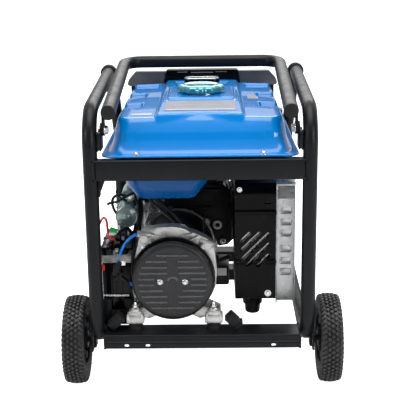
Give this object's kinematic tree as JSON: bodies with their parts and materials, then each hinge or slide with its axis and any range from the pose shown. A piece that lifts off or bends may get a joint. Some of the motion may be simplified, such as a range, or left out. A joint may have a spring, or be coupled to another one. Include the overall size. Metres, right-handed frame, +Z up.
{
  "type": "portable generator",
  "caption": "Wheeled open-frame petrol generator with a tube frame, top fuel tank, folding pull handle, alternator, muffler and electric start.",
  "frame": {"origin": "on the floor, under the middle of the overall box", "axes": "+Z up; -Y is the wheel and alternator end, +Y the control console end; +X is the muffler side"},
  "size_m": [0.628, 0.7004, 0.689],
  "materials": {
    "frame_paint": "satin black powder coat",
    "zinc": "bright zinc plated",
    "cast_alu": "as cast, lightly stained",
    "black_plastic": "moulded satin black",
    "tank_blue": "gloss blue enamel",
    "cap_blue": "metallic light blue",
    "tyre": "moulded block tread",
    "rubber": "matte",
    "muffler_black": "heat-proof semi-gloss black",
    "muffler_steel": "aluminised, lightly brushed",
    "starter_grey": "zinc grey-green",
    "battery_black": "gloss black",
    "stator_steel": "laminated steel",
    "copper": "varnished copper windings",
    "iron": "machined and cast",
    "socket_blue": "satin blue",
    "red_plastic": "satin red",
    "yellow_plastic": "satin yellow"
  },
  "bodies": {
    "frame": {"side_hoop_left": "frame_paint", "side_hoop_right": "frame_paint", "corner_sleeves": "rubber", "top_cross_plate": "frame_paint", "far_cross_bar": "frame_paint", "bottom_cross_near": "frame_paint", "engine_rails": "frame_paint", "handle_brackets": "frame_paint", "hinge_bolts": "zinc", "axle_brackets": "frame_paint", "foot_stands": "frame_paint", "rubber_feet": "rubber", "axle_nuts": "zinc", "tank_upper_shell": "tank_blue", "tank_lower_shell": "tank_blue", "tank_bolts": "zinc", "filler_neck": "zinc", "fuel_gauge": "black_plastic", "fuel_tap": "cast_alu", "fuel_hose": "rubber", "crankcase": "cast_alu", "cylinder_head": "cast_alu", "valve_cover": "zinc", "blower_housing": "black_plastic", "recoil_cover": "tank_blue", "air_filter_box": "black_plastic", "carburettor": "cast_alu", "oil_dipstick": "yellow_plastic", "muffler_body": "muffler_black", "heat_shield": "muffler_black", "muffler_cover": "muffler_steel", "exhaust_spout": "muffler_black", "starter_motor": "starter_grey", "battery": "battery_black", "battery_clamp": "frame_paint", "alternator_stator": "stator_steel", "end_bracket": "cast_alu", "end_cover": "black_plastic", "rubber_mounts": "rubber", "console_box": "black_plastic", "console_hood": "black_plastic", "socket_block": "socket_blue", "earth_stud": "zinc"},
    "wheel_left": {"tyre_left": "tyre", "rim_left": "black_plastic"},
    "wheel_right": {"tyre_right": "tyre", "rim_right": "black_plastic"},
    "pull_handle": {"handle_frame": "frame_paint", "handle_plugs": "rubber"},
    "cap": {"fuel_cap": "cap_blue"},
    "tap_lever": {"fuel_tap_lever": "red_plastic"},
    "choke": {"choke_lever": "zinc"},
    "recoil_handle": {"recoil_grip": "black_plastic"},
    "rotor": {"crankshaft": "iron", "flywheel": "iron", "alternator_rotor": "copper"},
    "lid_left": {"socket_lid_left": "socket_blue"},
    "lid_right": {"socket_lid_right": "socket_blue"},
    "rocker": {"breaker_rocker": "black_plastic"},
    "key": {"key_switch": "zinc"}
  },
  "joints": [
    {"name": "wheel_left_spin", "type": "hinge", "parent": "frame", "child": "wheel_left", "pos_m": [-0.289, -0.24625, 0.1015], "axis": [1, 0, 0], "continuous": true},
    {"name": "wheel_right_spin", "type": "hinge", "parent": "frame", "child": "wheel_right", "pos_m": [0.289, -0.24625, 0.1015], "axis": [1, 0, 0], "continuous": true},
    {"name": "handle_fold", "type": "hinge", "parent": "frame", "child": "pull_handle", "pos_m": [0, -0.28825, 0.599], "axis": [1, 0, 0], "range_deg": [0, 100]},
    {"name": "cap_twist", "type": "hinge", "parent": "frame", "child": "cap", "pos_m": [0, 0.00375, 0.64], "axis": [0, 0, 1], "range_deg": [0, 90]},
    {"name": "tap_turn", "type": "hinge", "parent": "frame", "child": "tap_lever", "pos_m": [-0.097, -0.00825, 0.407], "axis": [1, 0, 0], "range_deg": [0, 90]},
    {"name": "choke_turn", "type": "hinge", "parent": "frame", "child": "choke", "pos_m": [0.209, 0.13175, 0.42], "axis": [1, 0, 0], "range_deg": [-40, 0]},
    {"name": "recoil_pull", "type": "slide", "parent": "frame", "child": "recoil_handle", "axis": [0, 1, 0], "range_m": [0, 0.6], "stiffness_N_per_m": 25, "springref_m": -0.2},
    {"name": "rotor_spin", "type": "hinge", "parent": "frame", "child": "rotor", "pos_m": [-0.062, 0, 0.252], "axis": [0, 1, 0], "continuous": true},
    {"name": "lid_left_flip", "type": "hinge", "parent": "frame", "child": "lid_left", "pos_m": [-0.11, 0.33615, 0.488], "axis": [1, 0, 0], "range_deg": [0, 110], "stiffness_Nm_per_rad": 0.02, "springref_deg": -28.65},
    {"name": "lid_right_flip", "type": "hinge", "parent": "frame", "child": "lid_right", "pos_m": [0.11, 0.33615, 0.488], "axis": [1, 0, 0], "range_deg": [0, 110], "stiffness_Nm_per_rad": 0.02, "springref_deg": -28.65},
    {"name": "breaker_rock", "type": "hinge", "parent": "frame", "child": "rocker", "pos_m": [0, 0.32675, 0.565], "axis": [1, 0, 0], "range_deg": [-12, 0]},
    {"name": "key_turn", "type": "hinge", "parent": "frame", "child": "key", "pos_m": [0, 0.32575, 0.47], "axis": [0, 1, 0], "range_deg": [0, 90]}
  ]
}
